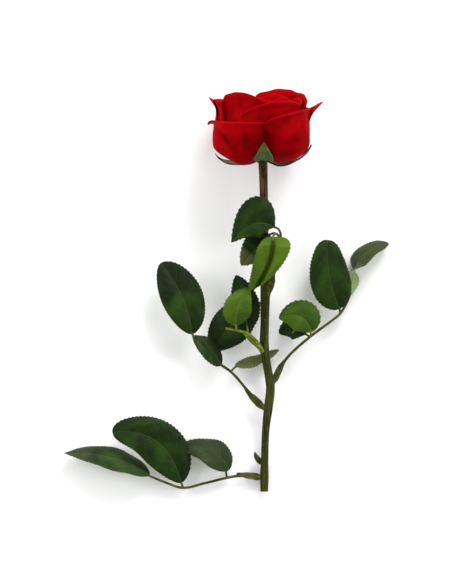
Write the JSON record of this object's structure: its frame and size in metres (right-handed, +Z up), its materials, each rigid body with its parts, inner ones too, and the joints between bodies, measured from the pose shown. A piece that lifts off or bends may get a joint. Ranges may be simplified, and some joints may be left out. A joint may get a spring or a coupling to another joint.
{
  "type": "cut rose stem",
  "caption": "Cut red rose lying on its side: an open bloom of layered petals on a slightly bent woody stem with toothed compound leaves.",
  "frame": {"origin": "middle of the rose's footprint on the surface that it lies on", "axes": "+Z up from the surface, +Y from the cut end to the bloom, +X to the right seen from above"},
  "size_m": [0.2121, 0.2627, 0.0654],
  "materials": {
    "stem": "smooth bark, reddish brown near the bloom and olive green towards the cut end, half gloss",
    "calyx": "matte green hip and sepals, paler inside",
    "petals": "velvety deep red petals with brighter rims",
    "leaf": "dark green, softly glossy above with paler veins, matte and paler beneath",
    "young_leaf": "bright yellow-green, softly glossy, with paler veins"
  },
  "bodies": {
    "root": {"stem": "stem", "calyx": "calyx", "bloom": "petals", "leaf_low_left": "leaf", "leaf_mid_left": "leaf", "leaf_mid_front": "leaf", "young_leaflet_mid_front": "young_leaf", "leaf_simple": "leaf", "leaf_right": "leaf", "young_leaflet_right": "young_leaf", "leaf_top": "leaf", "young_leaflet_top": "young_leaf"}
  },
  "joints": []
}
